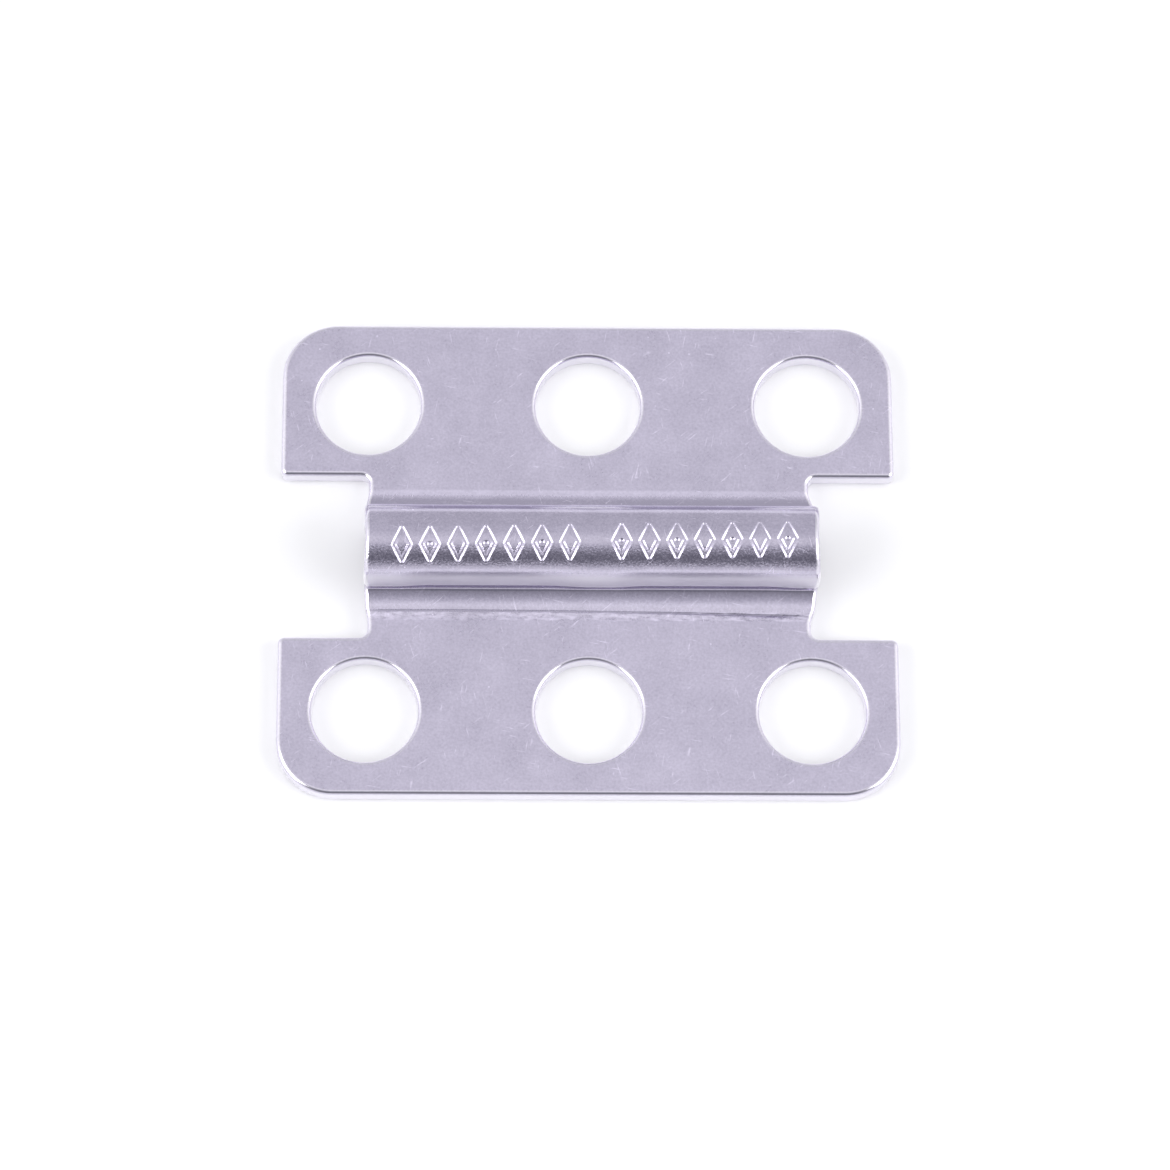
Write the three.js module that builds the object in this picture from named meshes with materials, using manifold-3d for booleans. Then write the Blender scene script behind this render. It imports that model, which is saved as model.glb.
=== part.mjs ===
// Six-hole saddle plate: one stainless sheet stamping, in millimetres, +Z up.
//
// Two flat flanges lie on the surface that the plate is screwed to. Between them a
// narrower neck rises into a round channel that runs along X and straddles a thin rod.
// The origin is on that surface, under the middle of the channel.
import * as THREE from 'three';
import { mergeVertices } from 'three/addons/utils/BufferGeometryUtils.js';
import Module from 'manifold-3d';

const wasm = await Module();
wasm.setup();

// Blank, seen from above.
const PLATE_WIDTH = 36.2; // along X
const PLATE_DEPTH = 29.2; // along Y
const CORNER_RADIUS = 3.3; // the four outer corners
const HOLE_RADIUS = 3.1;
const END_MARGIN = 5.1; // outer hole centres to the ends of the plate
const ROW_OFFSET = 0.3; // hole rows are this much nearer the channel than each flange's middle
const NOTCH_DEPTH = 5.1; // each side notch, along X
const NOTCH_ROOT_RADIUS = 0.5; // inner corners of the notches
const NOTCH_LIP_RADIUS = 0.4; // outer corners of the notches
const BEND_LAND = 1.0; // flat strip from the bend line to the notch edge

// Bent section, seen along X. Radii are those of the upper face.
const SHEET = 1.2;
const BORE_RADIUS = 1.2; // inside of the channel
const NECK_FILLET_RADIUS = 0.28; // tight corner where the ramp turns up into the channel
const RAMP_RADIUS = 3.4; // gentle rise from the flange to that corner
const RAMP_ANGLE = THREE.MathUtils.degToRad(30); // steepest slope of the ramp
const UNDERCUT_ANGLE = THREE.MathUtils.degToRad(24); // how far the channel closes in below its axis

// How finely arcs are cut, and how far the tool solids run past the metal.
const ARC_STEP = THREE.MathUtils.degToRad(7.5);
const OVERCUT = 1.0;

// Places that follow from the sizes above.
const QUARTER = Math.PI / 2;
const channelRadius = BORE_RADIUS + SHEET;
const reach = channelRadius + NECK_FILLET_RADIUS;
const rampToFillet = RAMP_RADIUS - NECK_FILLET_RADIUS;
const filletY = reach * Math.cos(UNDERCUT_ANGLE);
const bendLineY = filletY + rampToFillet * Math.sin(RAMP_ANGLE);
const rampZ = SHEET + RAMP_RADIUS;
const filletZ = rampZ - rampToFillet * Math.cos(RAMP_ANGLE);
const axisZ = filletZ + reach * Math.sin(UNDERCUT_ANGLE);
const notchEdgeY = bendLineY + BEND_LAND;
const neckEdgeX = PLATE_WIDTH / 2 - NOTCH_DEPTH;
const holeX = PLATE_WIDTH / 2 - END_MARGIN;
const holeY = (notchEdgeY + PLATE_DEPTH / 2) / 2 - ROW_OFFSET;

// Points along an arc, both ends included, from one angle to the other either way round.
function arc(centreU, centreV, radius, from, to) {
  const steps = Math.max(1, Math.round(Math.abs(to - from) / ARC_STEP));
  const points = [];
  for (let i = 0; i <= steps; i += 1) {
    const angle = from + ((to - from) * i) / steps;
    points.push(new THREE.Vector2(centreU + radius * Math.cos(angle), centreV + radius * Math.sin(angle)));
  }
  return points;
}

// One face of the bent section from -Y to +Y, depth below the upper face.
// Each arc is concentric with the one above it, so the sheet keeps its thickness.
function sectionFace(depth, halfLength) {
  const lowest = -QUARTER;
  const rampTop = lowest + RAMP_ANGLE;
  const ramp = arc(-bendLineY, rampZ, RAMP_RADIUS + depth, lowest, rampTop);
  const fillet = arc(-filletY, filletZ, NECK_FILLET_RADIUS + depth, rampTop, UNDERCUT_ANGLE);
  const channel = arc(0, axisZ, channelRadius - depth, Math.PI + UNDERCUT_ANGLE, QUARTER);
  const end = new THREE.Vector2(-halfLength, SHEET - depth);
  const left = [end, ...ramp, ...fillet.slice(1), ...channel.slice(1)];
  const right = left.slice(0, -1).reverse().map((p) => new THREE.Vector2(-p.x, p.y));
  return [...left, ...right];
}

// A closed solid for the boolean steps.
function solidOf(geometry) {
  const bare = geometry.clone();
  bare.deleteAttribute('normal');
  bare.deleteAttribute('uv');
  const merged = mergeVertices(bare);
  return new wasm.Manifold(new wasm.Mesh({
    numProp: 3,
    vertProperties: new Float32Array(merged.attributes.position.array),
    triVerts: new Uint32Array(merged.index.array),
  }));
}

function geometryOf(solid) {
  const mesh = solid.getMesh();
  const geometry = new THREE.BufferGeometry();
  geometry.setAttribute('position', new THREE.BufferAttribute(mesh.vertProperties, 3));
  geometry.setIndex(new THREE.BufferAttribute(mesh.triVerts, 1));
  geometry.computeVertexNormals();
  return geometry;
}

// The bent strip, wider and longer than the blank: the section in Y and Z, extruded along X.
function bentStrip() {
  const halfLength = PLATE_DEPTH / 2 + OVERCUT;
  const upper = sectionFace(0, halfLength);
  const lower = sectionFace(SHEET, halfLength);
  const section = new THREE.Shape([...lower, ...upper.reverse()]);
  const length = PLATE_WIDTH + 2 * OVERCUT;
  const strip = new THREE.ExtrudeGeometry(section, { depth: length, bevelEnabled: false });
  strip.translate(0, 0, -length / 2);
  const yAxis = new THREE.Vector3(0, 1, 0);
  const zAxis = new THREE.Vector3(0, 0, 1);
  const xAxis = new THREE.Vector3(1, 0, 0);
  return solidOf(strip.applyMatrix4(new THREE.Matrix4().makeBasis(yAxis, zAxis, xAxis)));
}

// The outline's quarter in +X +Y, from the middle of the notch to the middle of the far edge.
function outlineQuarter() {
  const edgeX = PLATE_WIDTH / 2;
  const edgeY = PLATE_DEPTH / 2;
  const root = NOTCH_ROOT_RADIUS;
  const lip = NOTCH_LIP_RADIUS;
  return [
    ...arc(neckEdgeX + root, notchEdgeY - root, root, Math.PI, QUARTER),
    ...arc(edgeX - lip, notchEdgeY + lip, lip, -QUARTER, 0),
    ...arc(edgeX - CORNER_RADIUS, edgeY - CORNER_RADIUS, CORNER_RADIUS, 0, QUARTER),
  ];
}

// The punched blank as a tall prism: the outline mirrored into four quarters, with six holes.
function blankPrism() {
  const quarter = outlineQuarter();
  const mirrored = (signX, signY) => quarter.map((p) => new THREE.Vector2(signX * p.x, signY * p.y));
  const outline = new THREE.Shape([
    ...mirrored(1, 1),
    ...mirrored(-1, 1).reverse(),
    ...mirrored(-1, -1),
    ...mirrored(1, -1).reverse(),
  ]);
  for (const x of [-holeX, 0, holeX]) {
    for (const y of [-holeY, holeY]) {
      const rim = arc(x, y, HOLE_RADIUS, 0, 2 * Math.PI).slice(0, -1);
      outline.holes.push(new THREE.Path(rim));
    }
  }
  const height = axisZ + channelRadius + 2 * OVERCUT;
  const prism = new THREE.ExtrudeGeometry(outline, { depth: height, bevelEnabled: false });
  return solidOf(prism.translate(0, 0, -OVERCUT));
}

const tumbledStainless = new THREE.MeshStandardMaterial({
  color: 0xbfbbcb,
  metalness: 1.0,
  roughness: 0.32,
});

const saddlePlate = new THREE.Mesh(geometryOf(bentStrip().intersect(blankPrism())), tumbledStainless);
saddlePlate.name = 'saddle_plate';

const group = new THREE.Group();
group.add(saddlePlate);

export default group;
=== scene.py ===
"""Looks, light and camera for a six-hole saddle plate pressed from one stainless sheet.

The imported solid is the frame. One finely cut shell stands for it: the same sheet with rounded
edges, the stamped row on the channel, the tool marks along the bends and a tumbled finish.
Lengths are worked out in millimetres and become metres where they enter Blender.
"""
import logging
import math
from dataclasses import dataclass, field
from enum import Enum

import bpy
import numpy as np
from mathutils import Matrix, Vector


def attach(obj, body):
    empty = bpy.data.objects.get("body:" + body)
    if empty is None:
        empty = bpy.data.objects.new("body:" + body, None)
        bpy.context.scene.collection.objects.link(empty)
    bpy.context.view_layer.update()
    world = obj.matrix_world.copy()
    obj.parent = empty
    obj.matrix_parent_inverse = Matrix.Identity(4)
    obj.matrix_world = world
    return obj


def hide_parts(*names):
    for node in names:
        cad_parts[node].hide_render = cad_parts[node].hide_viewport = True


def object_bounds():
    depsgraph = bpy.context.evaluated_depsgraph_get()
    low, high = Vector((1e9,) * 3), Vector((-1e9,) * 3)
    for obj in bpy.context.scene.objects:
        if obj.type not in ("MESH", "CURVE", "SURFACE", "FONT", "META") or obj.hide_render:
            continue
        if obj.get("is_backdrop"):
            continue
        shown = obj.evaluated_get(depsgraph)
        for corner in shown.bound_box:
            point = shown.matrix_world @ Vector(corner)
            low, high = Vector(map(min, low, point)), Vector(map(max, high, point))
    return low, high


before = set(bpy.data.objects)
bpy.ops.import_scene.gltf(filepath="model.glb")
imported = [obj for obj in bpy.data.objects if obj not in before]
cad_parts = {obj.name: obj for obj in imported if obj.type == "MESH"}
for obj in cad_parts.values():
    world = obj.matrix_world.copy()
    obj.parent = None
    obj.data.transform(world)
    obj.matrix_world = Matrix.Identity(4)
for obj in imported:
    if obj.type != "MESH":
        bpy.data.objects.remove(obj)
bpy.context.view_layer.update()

MM = 0.001
WHITE = (1.0, 1.0, 1.0, 1.0)
log = logging.getLogger("saddle_plate")

Array = np.ndarray
Spot = Array | tuple[float, float]
Colour = tuple[float, float, float, float]
Profile = tuple[tuple[float, float], ...]
Weights = tuple[tuple[str, float], ...]
Inputs = dict[str | int, object]
Socket = bpy.types.NodeSocket
# A cell's border: its stretches, the direction out of the metal along each (None inside the
# metal), and the angles on the hole's rim where the stretches start, and where the last ends.
Border = tuple[list[Array], list[Array | None], list[float]]


class Face(Enum):
    """The two faces of the sheet, as depths below the upper face in sheet thicknesses."""

    UPPER = 0.0
    LOWER = 1.0


def smoothstep(low: float, high: float, value: Array) -> Array:
    """Ease from 0 at low to 1 at high: 3t^2 - 2t^3 with t the clipped fraction of the way."""
    t = np.clip((value - low) / (high - low), 0.0, 1.0)
    return t * t * (3.0 - 2.0 * t)


def spaced(stops: list[float], steps: list[int]) -> Array:
    """Numbers from the first stop to the last, with that many even steps between neighbours."""
    runs = [np.linspace(a, b, n + 1)[:-1] for a, b, n in zip(stops, stops[1:], steps)]
    return np.concatenate(runs + [np.array([stops[-1]])])


def grid_quads(rows: int, columns: int) -> Array:
    """Corner numbers of every quad on a grid whose points are stored row after row."""
    index = np.arange(rows * columns).reshape(rows, columns)
    corners = [index[:-1, :-1], index[:-1, 1:], index[1:, 1:], index[1:, :-1]]
    return np.stack([c.ravel() for c in corners], axis=1)


@dataclass(frozen=True)
class BentSection:
    """The bent sheet's section, followed over the upper face from the crown of the channel.

    A station is the length along that face, positive towards +Y. Each side runs through four
    stretches: channel, fillet, ramp and flat flange. The lower face lies one sheet below along
    the normal, so that all arcs stay concentric.
    """

    sheet: float = 1.2
    bore_radius: float = 1.2
    fillet_radius: float = 0.28
    ramp_radius: float = 3.4
    ramp_angle: float = math.radians(30.0)
    undercut: float = math.radians(24.0)

    @property
    def channel_radius(self) -> float:
        """Outer radius of the channel."""
        return self.bore_radius + self.sheet

    @property
    def channel_turn(self) -> float:
        """Angle from the crown to the end of the channel's arc."""
        return math.pi / 2 + self.undercut

    @property
    def fillet_y(self) -> float:
        """Distance of the fillet's centre from the middle plane."""
        return (self.channel_radius + self.fillet_radius) * math.cos(self.undercut)

    @property
    def bend_line(self) -> float:
        """Distance of the bend line, where the flat flange starts, from the middle plane."""
        return self.fillet_y + (self.ramp_radius - self.fillet_radius) * math.sin(self.ramp_angle)

    @property
    def fillet_z(self) -> float:
        """Height of the fillet's centre."""
        rise = (self.ramp_radius - self.fillet_radius) * math.cos(self.ramp_angle)
        return self.sheet + self.ramp_radius - rise

    @property
    def axis_z(self) -> float:
        """Height of the channel's axis."""
        return self.fillet_z + (self.channel_radius + self.fillet_radius) * math.sin(self.undercut)

    @property
    def channel_end(self) -> float:
        """Station where the channel's arc ends."""
        return self.channel_radius * self.channel_turn

    @property
    def fillet_end(self) -> float:
        """Station where the fillet runs into the ramp."""
        return self.channel_end + self.fillet_radius * (self.channel_turn - self.ramp_angle)

    @property
    def ramp_end(self) -> float:
        """Station of the bend line."""
        return self.fillet_end + self.ramp_radius * self.ramp_angle

    def station_of(self, y: Array) -> Array:
        """Stations of flange points at distance y from the middle plane, for y past the bend."""
        return self.ramp_end + (y - self.bend_line)

    def place(self, station: Array) -> tuple[Array, Array, Array]:
        """Height, distance and lean of the upper face at each station.

        On each stretch the lean phi of the normal changes evenly with the station, and the
        point is the arc's centre plus or minus the radius times (sin phi, cos phi).

        Args:
            station: signed lengths from the crown.

        Returns:
            Y, Z and the signed lean of the normal from +Z towards +Y.
        """
        t = np.abs(station)
        side = np.where(station < 0, -1.0, 1.0)
        after_channel = (t - self.channel_end) / self.fillet_radius
        after_fillet = (t - self.fillet_end) / self.ramp_radius
        runs = [t < self.channel_end, t < self.fillet_end, t < self.ramp_end]
        turned = self.channel_turn - after_channel
        leans = [t / self.channel_radius, turned, self.ramp_angle - after_fillet]
        lean = np.select(runs, leans, 0.0)
        centres_y = (0.0, self.fillet_y, self.bend_line)
        centres_z = (self.axis_z, self.fillet_z, self.sheet + self.ramp_radius)
        radii = (self.channel_radius, -self.fillet_radius, -self.ramp_radius)
        ys = [centre + radius * np.sin(lean) for centre, radius in zip(centres_y, radii)]
        zs = [centre + radius * np.cos(lean) for centre, radius in zip(centres_z, radii)]
        y = np.select(runs, ys, self.bend_line + t - self.ramp_end)
        z = np.select(runs, zs, self.sheet)
        return side * y, z, side * lean

    def carry(self, x: Array, station: Array) -> tuple[Array, Array, Array]:
        """Points of the upper face, with the directions up from it and along it.

        With phi the lean, up is (0, sin phi, cos phi) and along is (0, cos phi, -sin phi).
        """
        y, z, lean = self.place(station)
        zero, sin, cos = np.zeros_like(x), np.sin(lean), np.cos(lean)
        points, up = np.stack([x, y, z], axis=-1), np.stack([zero, sin, cos], axis=-1)
        return points, up, np.stack([zero, cos, -sin], axis=-1)


@dataclass(frozen=True)
class DieLine:
    """The thin line that the die pressed along the near bend, deeper towards +X."""

    offset: float = 0.57
    slope: float = 0.010
    curve: float = 0.0006
    spread: float = 0.055
    depth: float = 0.015
    deepening: float = 0.022
    deepens: tuple[float, float] = (1.0, 9.0)
    fades: tuple[float, float] = (12.6, 12.2)

    def relief(self, x: Array, station: Array, bend: float) -> Array:
        """Height of the line over the plain surface: minus its depth times a bell across it.

        The line keeps its distance from the bend, a station, apart from a curve along X.
        """
        gap = station + bend - self.offset + x * (self.slope + self.curve * x)
        depth = self.depth + self.deepening * smoothstep(*self.deepens, x)
        depth = depth * smoothstep(*self.fades, np.abs(x))
        return -depth * np.exp(-((gap / self.spread) ** 2))


@dataclass(frozen=True)
class StampedRow:
    """Two groups of outlined lozenges, struck a little askew into the channel's crown."""

    groups: tuple[tuple[float, float], ...] = ((-11.5, -0.5), (1.2, 12.1))
    marks_in_group: int = 7
    half_width: float = 0.47
    half_height: float = 0.98
    stroke: float = 0.34
    floor_width: float = 0.08
    depth: float = 0.070
    lip: float = 0.006
    left_offset: float = -0.76
    right_offset: float = -0.30
    pip_radius: float = 0.17
    pip_every: int = 2
    lip_gap: float = 0.62
    lip_spread: float = 0.14
    shallowest: float = 0.92
    sway: float = 0.14
    sway_rate: float = 1.9
    sway_start: float = 0.6

    def centres(self) -> Array:
        """Middle X of every mark, left to right."""
        reach = self.half_width + self.stroke / 2
        runs = [np.linspace(a + reach, b - reach, self.marks_in_group) for a, b in self.groups]
        return np.concatenate(runs)

    def depth_of(self, number: Array) -> Array:
        """Depth of each mark: near the full one, with a slow sway along the row."""
        wave = np.sin(self.sway_rate * number + self.sway_start)
        return self.depth * (self.shallowest + self.sway * wave)

    def relief(self, x: Array, station: Array) -> Array:
        """Height of the struck surface over the plain one.

        For each point the nearest mark is found along X. In that mark's own folded quarter the
        distance to the segment from its side corner to its top corner is the distance to the
        lozenge's line. The groove has a flat floor and walls with a smooth ease, and a low lip
        with a bell profile stands just outside it. Every second mark has a small round pip.

        Args:
            x, station: the points, in the flat layout.

        Returns:
            Heights, negative in the grooves.
        """
        centres = self.centres()
        number = np.argmin(np.abs(x[..., None] - centres), axis=-1)
        first, last = centres[0], centres[-1]
        slope = (self.right_offset - self.left_offset) / (last - first)
        across = np.abs(x - centres[number])
        along = np.abs(station - (self.left_offset + slope * (x - first)))
        side = np.array([-self.half_width, self.half_height])
        fraction = ((across - self.half_width) * side[0] + along * side[1]) / (side @ side)
        fraction = np.clip(fraction, 0.0, 1.0)
        gap = np.hypot(across - self.half_width - fraction * side[0], along - fraction * side[1])
        pipped = number % self.pip_every == self.pip_every - 1
        pip_gap = np.hypot(across, along) + self.stroke / 2 - self.pip_radius
        gap = np.minimum(gap, np.where(pipped, pip_gap, np.inf))
        groove = 1.0 - smoothstep(self.floor_width / 2, self.stroke / 2, gap)
        burr = np.exp(-(((gap / self.stroke - self.lip_gap) / self.lip_spread) ** 2))
        return -self.depth_of(number) * groove + self.lip * burr

    def sunk(self, x: Array, station: Array) -> Array:
        """How deep each point lies in a groove, from 0 outside to about 1 at the bottom."""
        return np.clip(-self.relief(x, station) / self.depth, 0.0, 1.0)


@dataclass
class Patch:
    """A piece of the shell's surface, in millimetres, with what the finish needs at each point."""

    points: Array
    normals: Array
    station: Array
    rim: Array
    stamp: Array
    faces: list[Array]


def weld(patches: list[Patch]) -> Patch:
    """Join patches into one closed shell whose faces point the way of its normals.

    Points that round to the same place are one point. A face's normal is the sum of the cross
    products of its neighbouring corners. Where it points against the sum of their normals, the
    face is turned round.

    Args:
        patches: pieces that meet along shared points.

    Returns:
        The joined patch.
    """
    points = np.concatenate([p.points for p in patches])
    starts = np.cumsum([0] + [len(p.points) for p in patches])
    keys = np.floor(points * 1.0e4 + 0.637).astype(np.int64)
    _, first, number = np.unique(keys, axis=0, return_index=True, return_inverse=True)
    number = number.ravel()
    joined = {
        name: np.concatenate([getattr(p, name) for p in patches])[first]
        for name in ("normals", "station", "rim", "stamp")
    }
    points = points[first]
    faces = []
    for patch, start in zip(patches, starts):
        for block in patch.faces:
            block = number[block + start]
            corners = points[block] - points[block[:, :1]]
            facing = np.cross(corners, np.roll(corners, -1, axis=1)).sum(axis=1)
            against = (facing * joined["normals"][block].sum(axis=1)).sum(axis=1) < 0
            faces.append(np.where(against[:, None], block[:, ::-1], block))
    return Patch(points=points, faces=faces, **joined)


@dataclass
class SaddlePlate:
    """The pressed sheet: two flanges with three holes each and the channelled neck between them.

    The shell is laid out flat, as X and station, and carried through the bent section. Each
    flange is three cells, one round each hole. Rounded rims close the outline and the holes.
    """

    section: BentSection = field(default_factory=BentSection)
    row: StampedRow = field(default_factory=StampedRow)
    die_line: DieLine = field(default_factory=DieLine)
    width: float = 36.2
    depth: float = 29.2
    corner_radius: float = 3.3
    hole_radius: float = 3.1
    hole_x: float = 13.0
    row_offset: float = 0.3
    notch_depth: float = 5.1
    root_radius: float = 0.5
    lip_radius: float = 0.4
    bend_land: float = 1.0
    edge_round: float = 0.30
    hole_round: float = 0.26
    cell_split: float = 6.5
    left_neck_shift: float = 0.1
    point_gap: float = 0.3
    cell_rings: int = 6
    fine_per_column: int = 10
    stamped_from: float = -2.15
    stamped_to: float = 1.1
    stamped_gap: float = 0.08
    line_rows: float = 0.652
    end_ease: float = 2.0
    sway_depth: float = 0.045
    sway_less: float = 0.035
    sway_more: float = 0.065
    slope_step: float = 0.004
    round_points: int = 8
    object: bpy.types.Object | None = None

    # How far the neck's ends stand out past its straight edge, by distance from the crown.
    end_stations: tuple[float, ...] = (0.0, 1.5, 3.2, 4.775, 5.19, 6.2, 6.97, 7.47)
    right_stand_out: tuple[float, ...] = (0.29, 0.36, 0.45, 0.44, 0.40, 0.28, 0.0, 0.0)
    left_stand_out: tuple[float, ...] = (0.07, 0.12, 0.20, 0.20, 0.20, 0.15, 0.0, 0.0)

    @property
    def notch_edge(self) -> float:
        """Distance of the notches' long edges from the middle plane."""
        return self.section.bend_line + self.bend_land

    @property
    def cell_start(self) -> float:
        """Distance of the line where the flange cells begin from the middle plane."""
        return self.notch_edge - self.root_radius

    @property
    def hole_y(self) -> float:
        """Distance of the hole rows from the middle plane."""
        return (self.notch_edge + self.depth / 2) / 2 - self.row_offset

    def neck_edge(self, side_x: int) -> float:
        """Distance of the neck's straight end from the middle, on the side given as -1 or 1."""
        shift = self.left_neck_shift if side_x < 0 else 0.0
        return self.width / 2 - self.notch_depth - shift

    def columns(self) -> Array:
        """X of the neck's grid lines, closer together towards its ends."""
        half = {}
        for side_x in (-1, 1):
            run = self.neck_edge(side_x) - self.edge_round - self.cell_split
            half[side_x] = self.cell_split + run * (1.0 - (1.0 - np.linspace(0.0, 1.0, 15)) ** 1.5)
        middle = np.linspace(-self.cell_split, self.cell_split, 27)
        return np.concatenate([-half[-1][:0:-1], middle, half[1][1:]])

    def slide(self, x: Array, station: Array) -> Array:
        """X with the ends of the neck drawn outwards to their measured, slightly bulging line.

        The stand-out is interpolated between the listed stations and eased in over the last
        two millimetres.

        Args:
            x: X of each point on the straight grid.
            station: station of each point.

        Returns:
            X of each point on the drawn grid.
        """
        result = x
        for side_x, stand_out in ((1, self.right_stand_out), (-1, self.left_stand_out)):
            end = self.neck_edge(side_x) - self.edge_round
            share = smoothstep(end - self.end_ease, end, side_x * x)
            reach = np.interp(np.abs(station), self.end_stations, stand_out)
            result = result + side_x * share * reach
        return result

    def sway(self, x: Array, station: Array) -> Array:
        """How far the channel is pressed in along the two stamped stretches.

        A plateau over each group of marks, times a share that is largest on the near flank and
        least on the far one, and none beyond the fillet.

        Args:
            x, station: the points, in the flat layout.

        Returns:
            Heights over the plain surface, none positive.
        """
        plateau = np.zeros_like(x)
        for start, end in self.row.groups:
            plateau = plateau + smoothstep(start + 0.2, start + 2.2, x)
            plateau = plateau - smoothstep(end - 1.8, end + 0.4, x)
        share = self.sway_depth - self.sway_less * smoothstep(1.0, 2.4, station)
        share = share + self.sway_more * smoothstep(-2.2, -3.9, station)
        start, end = self.section.channel_end - 0.35, self.section.fillet_end
        return -plateau * share * (1.0 - smoothstep(start, end, np.abs(station)))

    def relief(self, x: Array, station: Array, face: Face) -> Array:
        """Height of the worked surface along the sheet's normal, nowhere above the plain sheet."""
        height = self.sway(x, station)
        if face is Face.UPPER:
            height = height + self.row.relief(x, station)
            height = height + self.die_line.relief(x, station, self.section.ramp_end)
        return np.minimum(height, 0.0)

    def surface(
        self, x: Array, station: Array, face: Face, quads: list[Array], worked: bool = True
    ) -> Patch:
        """A face of the sheet over points of the flat layout.

        The point is the section's point, plus the normal times the relief less the depth. The
        normal leans against the slopes of the relief, taken as central differences.

        Args:
            x, station: the points, in the flat layout.
            face: which face of the sheet.
            quads: faces between the points.
            worked: whether the relief is added.

        Returns:
            The patch.
        """
        points, up, along = self.section.carry(x, station)
        height = np.full_like(x, -face.value * self.section.sheet)
        normal, step = up, self.slope_step

        def slope(step_x: float, step_s: float) -> Array:
            """Slope of the relief along the given step."""
            ahead = self.relief(x + step_x, station + step_s, face)
            return (ahead - self.relief(x - step_x, station - step_s, face)) / (2 * step)

        if worked:
            height = height + self.relief(x, station, face)
            normal = up - slope(0.0, step)[..., None] * along
            normal[..., 0] -= slope(step, 0.0)
            normal /= np.linalg.norm(normal, axis=-1, keepdims=True)
        points = (points + height[..., None] * up).reshape(-1, 3)
        outward = (normal if face is Face.UPPER else -normal).reshape(-1, 3)
        stamp = np.zeros(x.size)
        if worked and face is Face.UPPER:
            stamp = self.row.sunk(x, station).ravel()
        return Patch(points, outward, station.ravel(), np.zeros(x.size), stamp, quads)

    def rim(
        self, x: Array, station: Array, out_x: Array, out_s: Array, radius: float, closed: bool
    ) -> Patch:
        """The rounded edge carried along a line of the flat layout.

        The profile is a quarter round of the radius, a straight wall and a second quarter round.
        At angle theta of the first, the point has moved radius times sin theta outwards and
        radius times (1 - cos theta) down, and its normal is cos theta up plus sin theta out.

        Args:
            x: X of the line's points, one radius inside the edge.
            station: stations of the line's points.
            out_x: X part of the unit direction out of the metal.
            out_s: station part of that direction.
            radius: radius of both quarter rounds.
            closed: whether the line ends where it starts.

        Returns:
            The patch.
        """
        sheet = self.section.sheet
        theta = np.linspace(0.0, math.pi / 2, self.round_points)
        wall = np.linspace(radius, sheet - radius, 4)[1:-1]
        sin, cos = np.sin(theta), np.cos(theta)
        dip = radius * (1 - cos)
        down = np.concatenate([dip, wall, sheet - dip[::-1]])
        rise = np.concatenate([cos, np.zeros(len(wall)), -cos[::-1]])
        lead = np.concatenate([sin, np.ones(len(wall)), sin[::-1]])
        grid_x = x[:, None] + radius * lead * out_x[:, None]
        grid_s = station[:, None] + radius * lead * out_s[:, None]
        points, up, along = self.section.carry(grid_x, grid_s)
        points = points + (self.sway(grid_x, grid_s) - down)[..., None] * up
        normals = rise[:, None] * up + (lead * out_s[:, None])[..., None] * along
        normals[..., 0] += lead * out_x[:, None]
        quads = grid_quads(len(x), len(lead))
        if closed:
            index = np.arange(len(x) * len(lead)).reshape(len(x), len(lead))
            seam = [index[-1, :-1], index[-1, 1:], index[0, 1:], index[0, :-1]]
            quads = np.concatenate([quads, np.stack(seam, axis=1)])
        rim = np.broadcast_to(lead, grid_x.shape).ravel()
        points, normals = points.reshape(-1, 3), normals.reshape(-1, 3)
        return Patch(points, normals, grid_s.ravel(), rim, np.zeros(grid_x.size), [quads])

    def stations(self) -> tuple[Array, Array, Array]:
        """Stations of the neck's grid lines, below, in and above the finely cut stamped band.

        Returns:
            The three runs from -Y to +Y. Neighbouring runs don't share a station.
        """
        s = self.section
        start = float(s.station_of(np.array(self.cell_start)))
        line, below = s.ramp_end - self.line_rows, self.stamped_from - self.stamped_gap
        bends = [-start, -s.ramp_end, -line - 0.30, -line + 0.20, -s.fillet_end, -s.channel_end]
        near = spaced([*bends, below], [3, 2, 15, 7, 9, 20])
        above = self.stamped_to + self.stamped_gap
        far = spaced([above, s.channel_end, s.fillet_end, s.ramp_end, start], [28, 9, 12, 3])
        return near, np.linspace(self.stamped_from, self.stamped_to, 66), far

    def neck(self) -> list[Patch]:
        """The neck's two faces and its two rounded ends.

        The upper face is a coarse grid, the finely cut band that carries the stamped row, and a
        second coarse grid. Between them lie strips of many-cornered faces, each with one coarse
        edge on one side and the matching fine edges on the other.

        Returns:
            The patches.
        """
        near, band, far = self.stations()
        columns = self.columns()
        k = self.fine_per_column
        fine = spaced(list(columns), [k] * (len(columns) - 1))
        rows = [(near, columns), (band, fine), (far, columns)]
        x, s, blocks, starts = [], [], [], [0]
        for run, xs in rows:
            grid_s, grid_x = np.meshgrid(run, xs, indexing="ij")
            x.append(self.slide(grid_x, grid_s).ravel())
            s.append(grid_s.ravel())
            blocks.append(grid_quads(len(run), len(xs)) + starts[-1])
            starts.append(starts[-1] + grid_x.size)
        cell = np.arange(len(columns) - 1)[:, None]
        fan = cell * k + np.arange(k, -1, -1)
        pair = cell + np.array([0, 1])
        near_edge = starts[1] - len(columns)
        band_last = starts[2] - len(fine)
        blocks.append(np.concatenate([near_edge + pair, starts[1] + fan], axis=1))
        blocks.append(np.concatenate([starts[2] + pair, band_last + fan], axis=1))
        upper = self.surface(np.concatenate(x), np.concatenate(s), Face.UPPER, blocks)
        every = np.concatenate([near, band, far])
        grid_s, grid_x = np.meshgrid(every, columns, indexing="ij")
        lower = self.surface(
            self.slide(grid_x, grid_s), grid_s, Face.LOWER, [grid_quads(len(every), len(columns))]
        )
        ends = []
        for column, side_x in ((0, -1.0), (-1, 1.0)):
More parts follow.
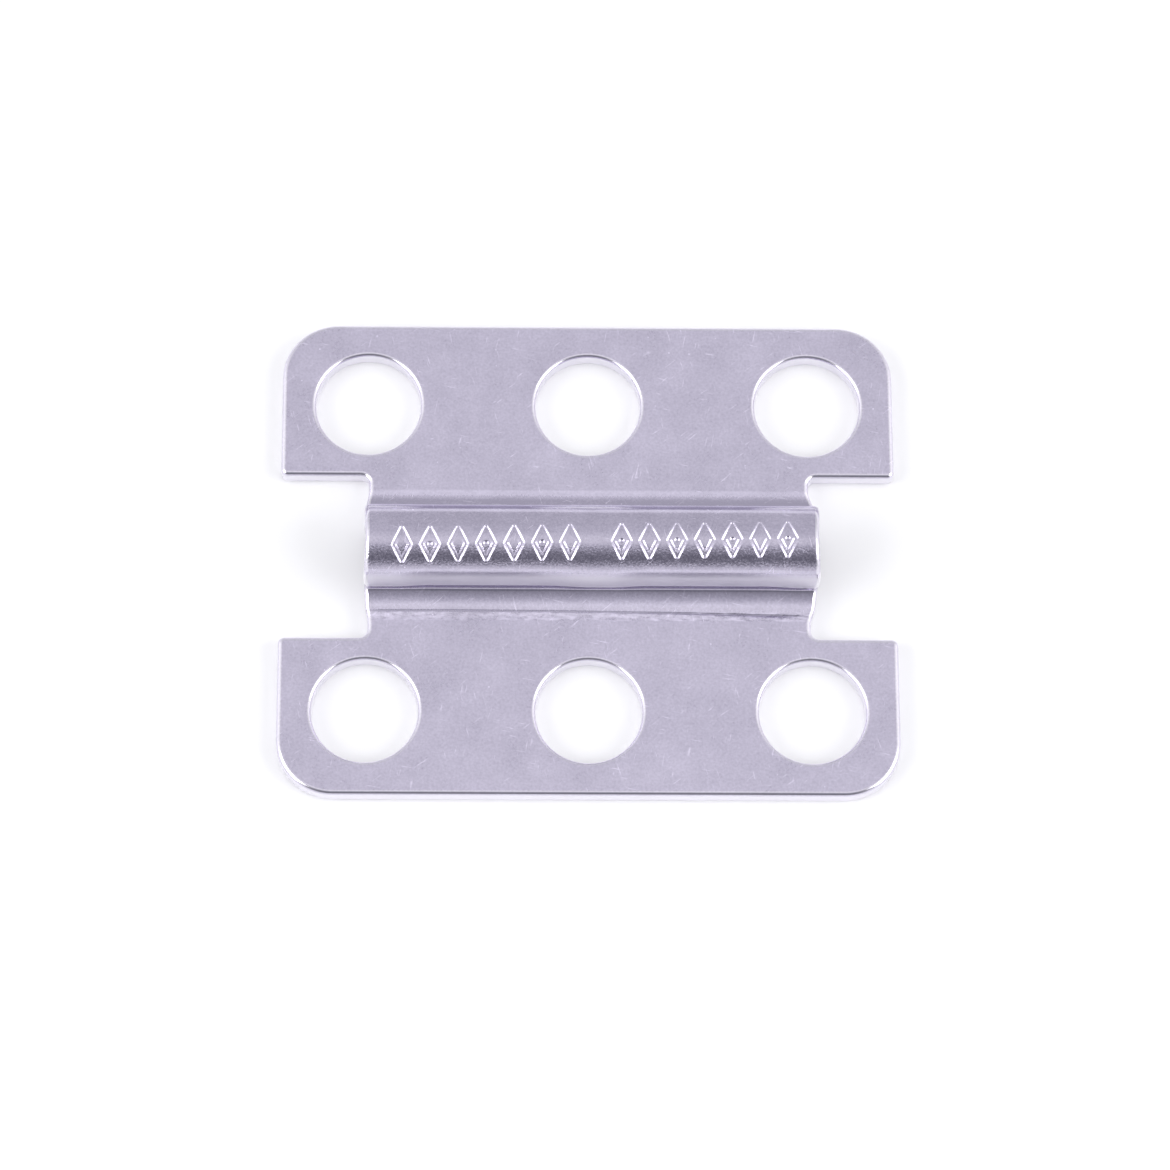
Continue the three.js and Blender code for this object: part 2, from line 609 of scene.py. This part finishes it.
            edge = self.slide(np.full_like(every, columns[column]), every)
            out_x, out_s = np.full_like(every, side_x), np.zeros_like(every)
            ends.append(self.rim(edge, every, out_x, out_s, self.edge_round, False))
        return [upper, lower, *ends]

    def run(self, start: Spot, end: Spot) -> Array:
        """Points on a straight line, about one point gap apart, both ends included."""
        a, b = np.array(start), np.array(end)
        steps = max(1, round(float(np.linalg.norm(b - a)) / self.point_gap))
        return a + (b - a) * np.linspace(0.0, 1.0, steps + 1)[:, None]

    def outer_cell(self, side_x: int) -> Border:
        """Border of the cell round an outer hole, in the +X +Y quarter.

        The border goes from the split line along the cell's start, round the notch's root, along
        the notch, round its lip, up the side, round the corner, along the far edge and back.

        Args:
            side_x: -1 or 1, which end of the plate it is for.

        Returns:
            The border.
        """
        e = self.edge_round
        neck, edge, top = self.neck_edge(side_x), self.width / 2, self.depth / 2
        root, lip, corner = self.root_radius, self.lip_radius, self.corner_radius
        columns = self.columns()
        inner = np.sort(side_x * columns[side_x * columns > self.cell_split - 1e-6])
        bottom = np.stack([inner, np.full_like(inner, self.cell_start)], axis=1)

        def arc(
            x: float, y: float, radius: float, start: float, end: float, steps: int, sign: int = 1
        ) -> tuple[Array, Array]:
            """Points on an arc and the directions out of the metal, to the centre for sign -1."""
            angle = np.radians(np.linspace(start, end, steps + 1))
            away = np.stack([np.cos(angle), np.sin(angle)], axis=1)
            return np.array([x, y]) + radius * away, sign * away

        root_arc, root_out = arc(neck + root, self.cell_start, root + e, 180.0, 90.0, 8, -1)
        lip_arc, lip_out = arc(edge - lip, self.notch_edge + lip, lip - e, -90.0, 0.0, 8)
        corner_arc, corner_out = arc(edge - corner, top - corner, corner - e, 0.0, 90.0, 20)
        notch = self.run(root_arc[-1], lip_arc[0])
        side = self.run(lip_arc[-1], corner_arc[0])
        far = self.run(corner_arc[-1], (self.cell_split, top - e))
        back = self.run((self.cell_split, top - e), (self.cell_split, self.cell_start))
        parts = [bottom, root_arc, notch, lip_arc, side, corner_arc, far, back]
        ways = ((notch, (0.0, -1.0)), (side, (1.0, 0.0)), (far, (0.0, 1.0)))
        notch_out, side_out, far_out = (np.tile(way, (len(line), 1)) for line, way in ways)
        outs = [None, root_out, notch_out, lip_out, side_out, corner_out, far_out, None]
        anchors = [-142.5, -101.0, -84.0, -43.0, -39.5, 20.4, 69.5, 143.5, 217.5]
        return parts, outs, anchors

    def middle_cell(self) -> Border:
        """Border of the cell round the middle hole, told as for the outer cell."""
        split, top = self.cell_split, self.depth / 2 - self.edge_round
        columns = self.columns()
        inner = columns[np.abs(columns) < split + 1e-6]
        bottom = np.stack([inner, np.full_like(inner, self.cell_start)], axis=1)
        right = self.run((split, top), (split, self.cell_start))[::-1]
        far = self.run((split, top), (-split, top))
        left = self.run((-split, top), (-split, self.cell_start))
        outs = [None, None, np.tile([0.0, 1.0], (len(far), 1)), None]
        return [bottom, right, far, left], outs, [-142.5, -37.5, 36.5, 143.5, 217.5]

    def flange_cell(self, border: Border, hole_x: float, side_x: int, side_y: int) -> list[Patch]:
        """Both faces of one cell, its share of the outline's rim and its hole's rim.

        The face is a grid of rings between the hole's circle and the border. A point on ring t
        is (1 - t) times the circle's point plus t times the border's point, and the circle's
        angle runs evenly between the anchors along each stretch of the border.

        Args:
            border: stretches, outward directions and anchor angles, in the +X +Y quarter.
            hole_x: X of the hole in that quarter.
            side_x: -1 to mirror the cell to -X.
            side_y: -1 to mirror the cell to -Y.

        Returns:
            The patches.
        """
        parts, outs, anchors = border
        loop = np.concatenate([part[:-1] for part in parts])
        spans = zip(anchors, anchors[1:], parts)
        angle = np.concatenate([np.linspace(a, b, len(part))[:-1] for a, b, part in spans])
        angle = np.radians(angle)
        toward = np.stack([np.cos(angle), np.sin(angle)], axis=1)
        circle = np.array([hole_x, self.hole_y]) + (self.hole_radius + self.hole_round) * toward
        ring = np.linspace(0.0, 1.0, self.cell_rings)[:, None, None]
        grid = (1.0 - ring) * circle + ring * loop
        grid = np.concatenate([grid, grid[:, :1]], axis=1)
        x = side_x * grid[..., 0]
        station = side_y * self.section.station_of(grid[..., 1])
        quads = [grid_quads(*x.shape)]
        patches = [self.surface(x, station, face, quads, worked=False) for face in Face]
        rims = [(part, out, self.edge_round, False) for part, out in zip(parts, outs)]
        for line, out, radius, closed in [*rims, (circle, -toward, self.hole_round, True)]:
            if out is not None:
                line_s = side_y * self.section.station_of(line[:, 1])
                out_x, out_s = side_x * out[:, 0], side_y * out[:, 1]
                patches.append(self.rim(side_x * line[:, 0], line_s, out_x, out_s, radius, closed))
        return patches

    def shell(self) -> Patch:
        """The whole closed surface, where every edge lies between exactly two faces.

        Returns:
            The welded shell.

        Raises:
            ValueError: if an edge is left open.
        """
        patches = self.neck()
        for side_y in (-1, 1):
            patches += self.flange_cell(self.middle_cell(), 0.0, 1, side_y)
            for side_x in (-1, 1):
                patches += self.flange_cell(self.outer_cell(side_x), self.hole_x, side_x, side_y)
        shell = weld(patches)
        pairs = [np.stack([f, np.roll(f, -1, axis=1)], axis=-1).reshape(-1, 2) for f in shell.faces]
        edges = np.sort(np.concatenate(pairs), axis=1)
        loose = int((np.unique(edges, axis=0, return_counts=True)[1] != 2).sum())
        if loose:
            raise ValueError(f"the plate's shell has {loose} open edges")
        return shell

    def build(self) -> bpy.types.Object:
        """Make the plate's mesh with its normals and the values that its finish reads.

        Returns:
            The new object, riding on the frame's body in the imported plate's place.
        """
        shell = self.shell()
        mesh = bpy.data.meshes.new("saddle_plate_sheet")
        faces = [corner for block in shell.faces for corner in block.tolist()]
        mesh.from_pydata((shell.points * MM).tolist(), [], faces)
        mesh.polygons.foreach_set("use_smooth", np.ones(len(mesh.polygons), dtype=bool))
        for name in ("station", "rim", "stamp"):
            values = mesh.attributes.new(name, "FLOAT", "POINT")
            values.data.foreach_set("value", getattr(shell, name).astype(np.float32))
        mesh.normals_split_custom_set_from_vertices(shell.normals.tolist())
        mesh.update()
        self.object = bpy.data.objects.new("saddle_plate_sheet", mesh)
        bpy.context.scene.collection.objects.link(self.object)
        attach(self.object, "root")
        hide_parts("saddle_plate")
        return self.object

    def dress(self, material: bpy.types.Material) -> None:
        """Give the plate its finish."""
        self.object.data.materials.append(material)


@dataclass
class NodeDesk:
    """A node tree with short ways to add and join the nodes that the finishes share."""

    tree: bpy.types.NodeTree

    def fill(self, node: bpy.types.Node, inputs: Inputs) -> bpy.types.Node:
        """The node, with each of the inputs linked to an output or set to a value."""
        for name, value in inputs.items():
            if isinstance(value, Socket):
                self.tree.links.new(value, node.inputs[name])
            else:
                node.inputs[name].default_value = value
        return node

    def add(self, kind: str, inputs: Inputs | None = None, **settings: object) -> bpy.types.Node:
        """A new node of the kind, with the inputs filled and the named settings."""
        node = self.tree.nodes.new(kind)
        for name, value in settings.items():
            setattr(node, name, value)
        return self.fill(node, inputs or {})

    def sum(self, operation: str, *values: object, clamp: bool = False) -> Socket:
        """Result of a Math node on the values."""
        inputs = dict(enumerate(values))
        return self.add("ShaderNodeMath", inputs, operation=operation, use_clamp=clamp).outputs[0]

    def weighted(self, base: float, weights: Weights, layers: dict[str, object]) -> Socket:
        """The base plus every named layer times its weight."""
        total: object = base
        for name, weight in weights:
            total = self.sum("MULTIPLY_ADD", layers[name], weight, total)
        return total

    def ease(self, value: object, *limits: float) -> Socket:
        """Smooth step of the value from the first two limits to the last two, or to 0 and 1."""
        names = ("Value", "From Min", "From Max", "To Min", "To Max")
        inputs = dict(zip(names, (value, *limits)))
        return self.add("ShaderNodeMapRange", inputs, interpolation_type="SMOOTHSTEP").outputs[0]

    def band(self, value: object, start: float, end: float, soft: float) -> Socket:
        """1 where the value lies between start and end, with soft borders."""
        rise = self.ease(value, start - soft, start + soft)
        return self.sum("MULTIPLY", rise, self.ease(value, end - soft, end + soft, 1.0, 0.0))

    def noise(self, vector: object, scale: float, detail: float, rough: float = 0.5) -> Socket:
        """Noise from 0 to 1 over the vector."""
        inputs = {"Vector": vector, "Scale": scale, "Detail": detail, "Roughness": rough}
        return self.add("ShaderNodeTexNoise", inputs).outputs["Fac"]

    def turned(
        self, vector: object, degrees: float, stretch: tuple[float, ...] = (1.0, 1.0, 1.0)
    ) -> Socket:
        """The vector turned about Z and then stretched."""
        turn = {"Vector": vector, "Rotation": (0.0, 0.0, math.radians(degrees))}
        turned = self.add("ShaderNodeMapping", turn).outputs[0]
        return self.add("ShaderNodeMapping", {"Vector": turned, "Scale": stretch}).outputs[0]

    def millimetres(self) -> Socket:
        """The object's own coordinates in millimetres."""
        metres = self.add("ShaderNodeTexCoord").outputs["Object"]
        inputs = {"Vector": metres, "Scale": (1 / MM, 1 / MM, 1 / MM)}
        return self.add("ShaderNodeMapping", inputs).outputs[0]

    def parts(self, vector: object) -> tuple[Socket, ...]:
        """X, Y and Z of the vector."""
        return tuple(self.add("ShaderNodeSeparateXYZ", {0: vector}).outputs)

    def mixed(self, share: object, under: object, over: object) -> Socket:
        """The colour under where the share is 0, and over where it is 1."""
        inputs = {0: share, 6: under, 7: over}
        return self.add("ShaderNodeMix", inputs, data_type="RGBA").outputs[2]

    def bump(self, height: object, distance: float) -> Socket:
        """The normal, bumped by the height times a distance in millimetres."""
        inputs = {"Strength": 1.0, "Distance": distance * MM, "Height": height}
        return self.add("ShaderNodeBump", inputs).outputs[0]

    def stored(self, name: str) -> Socket:
        """The number that the mesh stores under the name."""
        return self.add("ShaderNodeAttribute", attribute_name=name).outputs["Fac"]


def new_material(name: str) -> tuple[bpy.types.Material, NodeDesk, bpy.types.Node]:
    """A material with the desk for its nodes and its shader."""
    material = bpy.data.materials.new(name)
    material.use_nodes = True
    desk = NodeDesk(material.node_tree)
    return material, desk, desk.tree.nodes["Principled BSDF"]


@dataclass(frozen=True)
class TumbledSteel:
    """Stainless sheet with a tumbled mill finish, burnished where the press drew it."""

    name: str = "tumbled_stainless"
    dark: Colour = (0.48, 0.45, 0.56, 1.0)
    light: Colour = (0.84, 0.79, 0.95, 1.0)
    # Dark colour mixed into the creases at the channel's foot: painted shade.
    painted_crease_shade: Colour = (0.20, 0.18, 0.24, 1.0)
    # Near-white colour mixed onto the walls, the rounded edges and the near flank: a painted
    # highlight.
    highlight_white: Colour = (0.88, 0.87, 0.90, 1.0)
    plain_tone: float = 0.385
    plain_roughness: float = 0.30
    least_roughness: float = 0.08
    bump_distance: float = 0.0012
    scratch_turns: tuple[float, ...] = (12.0, -38.0, 74.0, 101.0)

    # Start, end and border softness of each band, by station. The die line drifts along X.
    bands: tuple[tuple[str, tuple[float, float, float]], ...] = (
        ("channel", (-4.9, 4.9, 0.25)), ("drawn", (-6.2, 6.6, 0.3)),
        ("scuffed", (-6.93, -6.41, 0.05)), ("burnished", (6.72, 7.08, 0.08)),
        # The band from 6.05 to 6.55 is darkened in the tone weights: painted shade standing in for
        # a dimmer reflection there.
        ("shade_band", (6.05, 6.55, 0.15)), ("mottled", (-2.00, -0.80, 0.22)),
        ("near_flank", (-4.60, -2.70, 0.40)), ("far_flank", (2.35, 4.6, 0.25)),
        ("near_crease", (-5.16, -4.76, 0.08)), ("far_crease", (4.76, 5.16, 0.08)),
        ("near_ramp", (-6.1, -5.1, 0.15)), ("far_ramp", (5.1, 6.1, 0.15)),
    )
    die_line: tuple[float, float, float] = (-6.455, -6.345, 0.035)
    rounding: tuple[float, float, float] = (0.15, 0.80, 0.08)
    wall: tuple[float, float] = (0.82, 0.97)

    # Scale, detail and roughness of each noise, and the level taken off it.
    noises: tuple[tuple[str, tuple[float, float, float], float], ...] = (
        ("blotch", (0.42, 3.0, 0.55), 0.5), ("grain", (6.5, 4.0, 0.65), 0.5),
        ("peel", (8.0, 3.0, 0.6), 0.5), ("rubs", (1.0, 3.0, 0.6), 0.47),
    )
    rub_stretch: tuple[float, float, float] = (1.6, 5.0, 1.0)

    # What each layer adds to the tone, to the roughness, to the bump, to the painted crease shade
    # and to the painted highlight.
    tone: Weights = (
        ("blotch", 0.50), ("grain", 0.85), ("marks", 0.46), ("nicks", 0.80), ("scuffs", 2.2),
        # Painted shade: the band on the far ramp from 6.05 to 6.55 is darkened.
        ("burnished", 0.30), ("shade_band", -0.40), ("die_line", -0.62), ("channel", -0.18),
        # The tone is lighter on both flanks of the channel: a painted highlight.
        ("near_flank", 0.80), ("far_flank", 0.80), ("near_ramp", 0.28), ("far_ramp", 0.28),
        # The rounded edges and walls are painted lighter, a painted highlight; the stamped grooves
        # are painted darker, painted shade.
        ("rounding", 0.20), ("wall", 0.40), ("stamp", -0.10), ("mottle", 2.4),
    )
    roughness: Weights = (
        ("blotch", 0.10), ("grain", 0.10), ("marks", 0.08), ("scuffs", 0.5), ("drawn", -0.15),
        ("near_flank", 0.42), ("far_flank", 0.28), ("rounding", -0.16), ("wall", 0.12),
        ("stamp", 0.20),
    )
    bump: Weights = (
        ("grain", 0.7), ("marks", -0.3), ("nicks", -0.2), ("scuffs", 4.0), ("mottle", 20.0),
    )
    # Painted shade: how much of the dark crease colour goes into each crease band.
    crease_shade_weights: Weights = (("near_crease", 0.25), ("far_crease", 0.25))
    # Painted highlight: how much of the near-white colour goes onto the walls, the rounded edges
    # and the near flank.
    highlight_weights: Weights = (("wall", 0.75), ("rounding", 0.40), ("near_flank", 0.75))

    def scratches(self, desk: NodeDesk, place: object) -> Socket:
        """Short fine scratches in several directions.

        Each direction is a noise stretched into long thin streaks, cut off near its top, and
        kept only where a coarser noise is high.

        Args:
            desk: the material's nodes.
            place: coordinates in millimetres.

        Returns:
            0 on plain metal to about 1 in a scratch.
        """
        total: object = 0.0
        for number, degrees in enumerate(self.scratch_turns):
            streak = desk.noise(desk.turned(place, degrees, (0.8, 9.0, 1.0)), 1.0, 2.0, 0.45)
            patch = desk.noise(desk.turned(place, 31.0 * number), 0.55, 1.0)
            kept = desk.sum("MULTIPLY", desk.ease(streak, 0.665, 0.73), desk.ease(patch, 0.5, 0.62))
            total = desk.sum("ADD", total, kept)
        return desk.sum("MINIMUM", total, 1.0)

    def specks(self, desk: NodeDesk, place: object) -> Socket:
        """Tiny bright nicks: the centres of some cells of a Voronoi pattern."""
        cells = desk.add("ShaderNodeTexVoronoi", {"Vector": place, "Scale": 1.15}).outputs
        near = desk.ease(cells["Distance"], 0.035, 0.085, 1.0, 0.0)
        return desk.sum("MULTIPLY", near, desk.ease(cells["Color"], 0.52, 0.60))

    def layers(self, desk: NodeDesk) -> dict[str, object]:
        """Everything that the finish is mixed from.

        The bands follow the station, and the rounding and the walls follow the rim. The scuffs
        are the scuffed band times the rubs, and the mottle is the mottled band times the peel.

        Args:
            desk: the material's nodes.

        Returns:
            The layers by name, each about 0 on plain metal.
        """
        place, line = desk.millimetres(), DieLine()
        station, rim, stamp = (desk.stored(name) for name in ("station", "rim", "stamp"))
        layers = {name: desk.band(station, *limits) for name, limits in self.bands}
        x = desk.parts(place)[0]
        drift = desk.sum("MULTIPLY", x, desk.sum("MULTIPLY_ADD", x, line.curve, line.slope))
        for name, noise, level in self.noises:
            across = desk.turned(place, 0.0, self.rub_stretch) if name == "rubs" else place
            layers[name] = desk.sum("SUBTRACT", desk.noise(across, *noise), level)
        return layers | {
            "die_line": desk.band(desk.sum("ADD", station, drift), *self.die_line),
            "rounding": desk.band(rim, *self.rounding),
            "wall": desk.ease(rim, *self.wall),
            "stamp": stamp,
            "marks": self.scratches(desk, place),
            "nicks": self.specks(desk, place),
            "scuffs": desk.sum("MULTIPLY", layers["scuffed"], layers["rubs"]),
            "mottle": desk.sum("MULTIPLY", layers["mottled"], layers["peel"]),
        }

    def material(self) -> bpy.types.Material:
        """Build the finish.

        Tone, roughness and bump are weighted sums of the layers. The tone runs from the dark
        colour to the light one. Painted shade darkens the creases, and a painted highlight turns
        the walls, the rounded edges and the near flank towards near white.

        Returns:
            The material.
        """
        material, desk, shader = new_material(self.name)
        layers = self.layers(desk)
        tone = desk.weighted(self.plain_tone, self.tone, layers)
        colour = desk.mixed(desk.sum("ADD", tone, 0.0, clamp=True), self.dark, self.light)
        # Painted shade in the creases first, then the painted highlight on the walls, the rounded
        # edges and the near flank.
        for shade, weights in ((self.painted_crease_shade, self.crease_shade_weights), (self.highlight_white, self.highlight_weights)):
            share = desk.sum("MINIMUM", desk.weighted(0.0, weights, layers), 1.0)
            colour = desk.mixed(share, colour, shade)
        rough = desk.weighted(self.plain_roughness, self.roughness, layers)
        finish = {
            "Base Color": colour,
            "Roughness": desk.sum("MAXIMUM", rough, self.least_roughness),
            "Normal": desk.bump(desk.weighted(0.0, self.bump, layers), self.bump_distance),
            "Metallic": 1.0,
        }
        desk.fill(shader, finish)
        return material


@dataclass(frozen=True)
class WhiteBoard:
    """Matt white board, very slightly uneven."""

    name: str = "matt_white_board"
    colour: Colour = (0.74, 0.74, 0.755, 1.0)
    glow: float = 0.17

    def material(self) -> bpy.types.Material:
        """Build the board's finish: diffuse white, with a faint fibre in roughness and bump."""
        material, desk, shader = new_material(self.name)
        fibre = desk.noise(desk.millimetres(), 0.8, 4.0, 0.6)
        finish = {
            "Roughness": desk.ease(fibre, 0.2, 0.8, 0.85, 1.0),
            "Normal": desk.bump(fibre, 0.01),
            "Base Color": self.colour,
            "Specular IOR Level": 0.0,
            "Emission Color": WHITE,
            "Emission Strength": self.glow,
        }
        desk.fill(shader, finish)
        return material


@dataclass
class Floor:
    """The pale floor that the plate lies on, a hair below the plate's underside."""

    half_size: float = 1600.0
    gap: float = 0.01
    cuts: int = 9

    def build(self) -> bpy.types.Object:
        """The floor, a flat square grid, marked as scenery."""
        line = np.linspace(-self.half_size, self.half_size, self.cuts)
        y, x = np.meshgrid(line, line, indexing="ij")
        points = np.stack([x, y, np.full_like(x, -self.gap)], axis=-1).reshape(-1, 3) * MM
        mesh = bpy.data.meshes.new("pale_floor")
        mesh.from_pydata(points.tolist(), [], grid_quads(self.cuts, self.cuts).tolist())
        floor = bpy.data.objects.new("pale_floor", mesh)
        bpy.context.scene.collection.objects.link(floor)
        mesh.materials.append(WhiteBoard().material())
        floor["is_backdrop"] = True
        return floor


@dataclass
class StudioTent:
    """Soft light from all round: a graded tent, two softboxes in front and a faint top light.

    The tent's brightness is a function of height, given as (sine of the elevation, brightness)
    for its front, its back and its sides. Its darker parts are a little bluer.
    """

    front: Profile = (
        (0.0, 0.95), (0.12, 0.86), (0.22, 0.68), (0.33, 0.33), (0.42, 0.24), (0.52, 0.23),
        (0.66, 0.19), (0.75, 0.24), (0.84, 0.32), (0.92, 0.50), (0.96, 0.74), (0.985, 0.88),
        (1.0, 0.92),
    )
    back: Profile = (
        (0.0, 0.72), (0.20, 0.70), (0.35, 0.70), (0.50, 0.72), (0.90, 0.70), (0.97, 0.78),
        (1.0, 0.92),
    )
    sides: Profile = ((0.0, 1.35), (0.5, 1.4), (0.8, 1.1), (1.0, 0.92))
    turn_over: float = 0.02
    scale: float = 1.4
    dusk: float = 0.16
    box_glow: float = 3.1
    box_distance: float = 800.0
    box_rise: float = math.radians(36.0)
    box_turn: float = math.radians(72.0)
    box_size: tuple[float, float] = (560.0, 520.0)
    top_glow: float = 0.05
    top_height: float = 1500.0
    top_size: tuple[float, float] = (2400.0, 2400.0)
    backdrop: float = 1.0

    def profile(self, desk: NodeDesk, height: object, stops: Profile) -> Socket:
        """Colour over height, divided by the scale so that every stop is at most 1.

        A stop is grey, with more blue the darker it is: by dusk times (1 - brightness).
        """
        ramp = desk.add("ShaderNodeValToRGB", {0: height})
        elements = ramp.color_ramp.elements
        for number, (place, value) in enumerate(stops):
            stop = elements[number] if number < 2 else elements.new(place)
            stop.position = place
            grey = value / self.scale
            stop.color = (grey, grey, grey * (1.0 + self.dusk * max(0.0, 1.0 - value)), 1.0)
        return ramp.outputs[0]

    def build_world(self) -> None:
        """Grade the tent.

        The share of the sides is the square of x^2 over (x^2 + y^2), with x and y the parts of
        the direction. The rest is the front's where y is negative and the back's elsewhere.
        Rays from the camera see an even white backdrop.
        """
        world = bpy.data.worlds.new("studio_tent")
        world.use_nodes = True
        bpy.context.scene.world = world
        desk = NodeDesk(world.node_tree)
        desk.tree.nodes.clear()
        x, y, z = desk.parts(desk.add("ShaderNodeTexCoord").outputs["Generated"])
        xx, yy = desk.sum("MULTIPLY", x, x), desk.sum("MULTIPLY", y, y)
        level = desk.sum("DIVIDE", xx, desk.sum("MAXIMUM", desk.sum("ADD", xx, yy), 1e-6))
        behind = desk.ease(y, -self.turn_over, self.turn_over)
        sideways = desk.sum("MULTIPLY", level, level)
        tent = self.profile(desk, z, self.front)
        tent = desk.mixed(behind, tent, self.profile(desk, z, self.back))
        tent = desk.mixed(sideways, tent, self.profile(desk, z, self.sides))
        choose = {0: desk.add("ShaderNodeLightPath").outputs["Is Camera Ray"]}
        for number, colour, strength in ((1, tent, self.scale), (2, WHITE, self.backdrop)):
            light = {"Color": colour, "Strength": strength}
            choose[number] = desk.add("ShaderNodeBackground", light).outputs[0]
        surface = desk.add("ShaderNodeMixShader", choose).outputs[0]
        desk.add("ShaderNodeOutputWorld", {"Surface": surface})

    def softbox(self, name: str, place: Vector, size: tuple[float, float], glow: float) -> None:
        """A softbox that faces the plate, with a power of pi times its area times its glow."""
        light = bpy.data.lights.new(name, "AREA")
        light.shape = "RECTANGLE"
        light.size, light.size_y = size[0] * MM, size[1] * MM
        light.energy = math.pi * light.size * light.size_y * glow
        lamp = bpy.data.objects.new(name, light)
        lamp.location = place * MM
        lamp.rotation_euler = (-place).to_track_quat("-Z", "Y").to_euler()
        bpy.context.scene.collection.objects.link(lamp)

    def build(self) -> None:
        """Make the tent and its softboxes."""
        self.build_world()
        level, rise = math.cos(self.box_rise), math.sin(self.box_rise)
        aside, ahead = level * math.sin(self.box_turn), -level * math.cos(self.box_turn)
        for name, side in (("left_softbox", -1.0), ("right_softbox", 1.0)):
            place = Vector((side * aside, ahead, rise)) * self.box_distance
            self.softbox(name, place, self.box_size, self.box_glow)
        above = Vector((0.0, 0.0, self.top_height))
        self.softbox("top_light", above, self.top_size, self.top_glow)


@dataclass
class ViewCamera:
    """The camera: a long lens that looks down at the plate from a little in front of it."""

    place: tuple[float, float, float] = (-6.148, -90.990, 257.159)
    yaw: float = 0.0666
    tilt: float = 0.3361
    roll: float = 0.0675
    lens: float = 142.55
    sensor: float = 36.0
    clip: tuple[float, float] = (0.01, 10.0)

    def build(self) -> bpy.types.Object:
        """Place the camera.

        The view direction comes from yaw and tilt. Right and up are turned about it by the roll,
        and the three make the camera's matrix.

        Returns:
            The camera, set as the scene's own.
        """
        fall = math.pi / 2 - self.tilt
        sin, cos = math.sin(self.yaw), math.cos(self.yaw)
        look = Vector((sin * math.cos(fall), cos * math.cos(fall), -math.sin(fall)))
        level = Vector((cos, -sin, 0.0))
        rise = level.cross(look)
        right = math.cos(self.roll) * level + math.sin(self.roll) * rise
        up = -math.sin(self.roll) * level + math.cos(self.roll) * rise
        data = bpy.data.cameras.new("view")
        data.lens, data.sensor_width = self.lens, self.sensor
        data.clip_start, data.clip_end = self.clip
        camera = bpy.data.objects.new("view", data)
        turn = Matrix((right, up, -look)).transposed().to_4x4()
        camera.matrix_world = Matrix.Translation(Vector(self.place) * MM) @ turn
        bpy.context.scene.collection.objects.link(camera)
        bpy.context.scene.camera = camera
        return camera


def main() -> None:
    """Build the camera, the light, the floor and the plate."""
    logging.basicConfig(level=logging.INFO, format="%(message)s")
    bpy.context.scene.view_settings.view_transform = "Standard"
    ViewCamera().build()
    StudioTent().build()
    Floor().build()
    plate = SaddlePlate()
    made = plate.build()
    plate.dress(TumbledSteel().material())
    mesh = made.data
    mesh.calc_loop_triangles()
    points, triangles = len(mesh.vertices), len(mesh.loop_triangles)
    log.info("%s: %d points, %d triangles", made.name, points, triangles)
    low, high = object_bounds()
    low_mm, high_mm = ([round(v / MM, 3) for v in corner] for corner in (low, high))
    log.info("visual box %s to %s", low_mm, high_mm)


if __name__ == "__main__":
    main()
